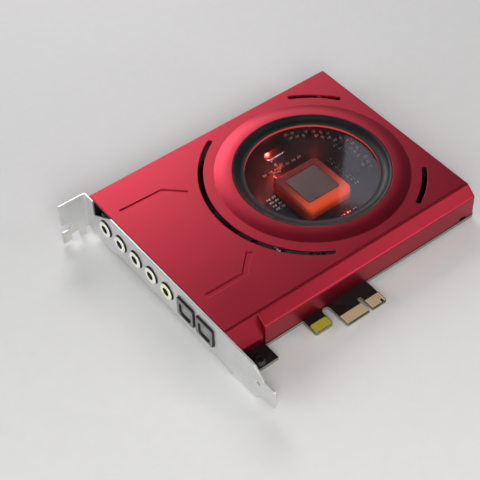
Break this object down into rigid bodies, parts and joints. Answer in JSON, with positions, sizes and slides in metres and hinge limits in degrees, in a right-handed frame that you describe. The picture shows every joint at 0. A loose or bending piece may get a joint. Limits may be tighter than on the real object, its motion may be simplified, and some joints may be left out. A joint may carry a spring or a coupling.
{
  "type": "pci express sound card",
  "caption": "Internal computer sound card with a red pressed cover, a round window over a lit processor, a slot bracket with audio jacks and optical ports, and a gold edge connector.",
  "frame": {"origin": "middle of the key notch at the tips of the contact fingers, on the board's middle plane", "axes": "+X along the card away from the bracket, +Y up to the card's top edge, +Z out of the component side"},
  "size_m": [0.1413, 0.1276, 0.0242],
  "materials": {
    "board": "semi-gloss solder mask",
    "gold": "hard gold plating",
    "bracket_steel": "satin nickel plate",
    "screw_steel": "dark zinc plate",
    "cover_red": "satin metallic paint",
    "post_steel": "bright zinc plate",
    "bezel_black": "satin black",
    "window_clear": "clear acrylic",
    "chip_black": "moulded epoxy",
    "cap_dark": "matt dark plate",
    "frame_amber": "translucent orange red, lit from below",
    "led_red": "lit red",
    "jack_black": "moulded black",
    "contact_brass": "plated spring brass",
    "port_black": "moulded black",
    "shutter_grey": "moulded grey",
    "spring_steel": "bright spring strip",
    "module_dark": "dark moulded resin",
    "can_aluminium": "bright can",
    "can_base": "moulded black",
    "relay_cream": "moulded cream",
    "crystal_steel": "bright can",
    "inductor_grey": "ferrite",
    "ceramic_tan": "fired ceramic with tinned ends",
    "resistor_black": "coated chip with tinned ends"
  },
  "bodies": {
    "card": {"audio_processor": "chip_black", "bracket": "bracket_steel", "bracket_ears": "bracket_steel", "bracket_foot": "bracket_steel", "bracket_screws": "screw_steel", "bracket_tab": "bracket_steel", "capacitor_bases": "can_base", "capacitor_cans": "can_aluminium", "circuit_board": "board", "codec_chip": "chip_black", "converter_chips": "chip_black", "cover": "cover_red", "cover_posts": "post_steel", "cover_screws": "screw_steel", "crystal": "crystal_steel", "edge_fingers_back": "gold", "edge_fingers_front": "gold", "jack_1_body": "jack_black", "jack_1_contacts": "contact_brass", "jack_1_sleeve": "gold", "jack_2_body": "jack_black", "jack_2_contacts": "contact_brass", "jack_2_sleeve": "gold", "jack_3_body": "jack_black", "jack_3_contacts": "contact_brass", "jack_3_sleeve": "gold", "jack_4_body": "jack_black", "jack_4_contacts": "contact_brass", "jack_4_sleeve": "gold", "jack_5_body": "jack_black", "jack_5_contacts": "contact_brass", "jack_5_sleeve": "gold", "light_frame": "frame_amber", "light_leds": "led_red", "op_amps": "chip_black", "optical_1_body": "port_black", "optical_1_module": "module_dark", "optical_1_spring": "spring_steel", "optical_2_body": "port_black", "optical_2_module": "module_dark", "optical_2_spring": "spring_steel", "output_relays": "relay_cream", "power_inductors": "inductor_grey", "processor_cap": "cap_dark", "smd_capacitors": "ceramic_tan", "smd_resistors": "resistor_black", "tongue_pads": "gold", "voltage_regulators": "chip_black", "window": "window_clear", "window_bezel": "bezel_black"},
    "shutter_1": {"optical_1_shutter": "shutter_grey"},
    "shutter_2": {"optical_2_shutter": "shutter_grey"}
  },
  "joints": [
    {"name": "shutter_1_hinge", "type": "hinge", "parent": "card", "child": "shutter_1", "pos_m": [-0.05936, 0.04182, 0.00894], "axis": [0, -1, 0], "range_deg": [0, 85], "stiffness_Nm_per_rad": 0.0002, "springref_deg": -22.92, "deforming": ["optical_1_spring"]},
    {"name": "shutter_2_hinge", "type": "hinge", "parent": "card", "child": "shutter_2", "pos_m": [-0.05936, 0.0293, 0.00894], "axis": [0, -1, 0], "range_deg": [0, 85], "stiffness_Nm_per_rad": 0.0002, "springref_deg": -22.92, "deforming": ["optical_2_spring"]}
  ]
}
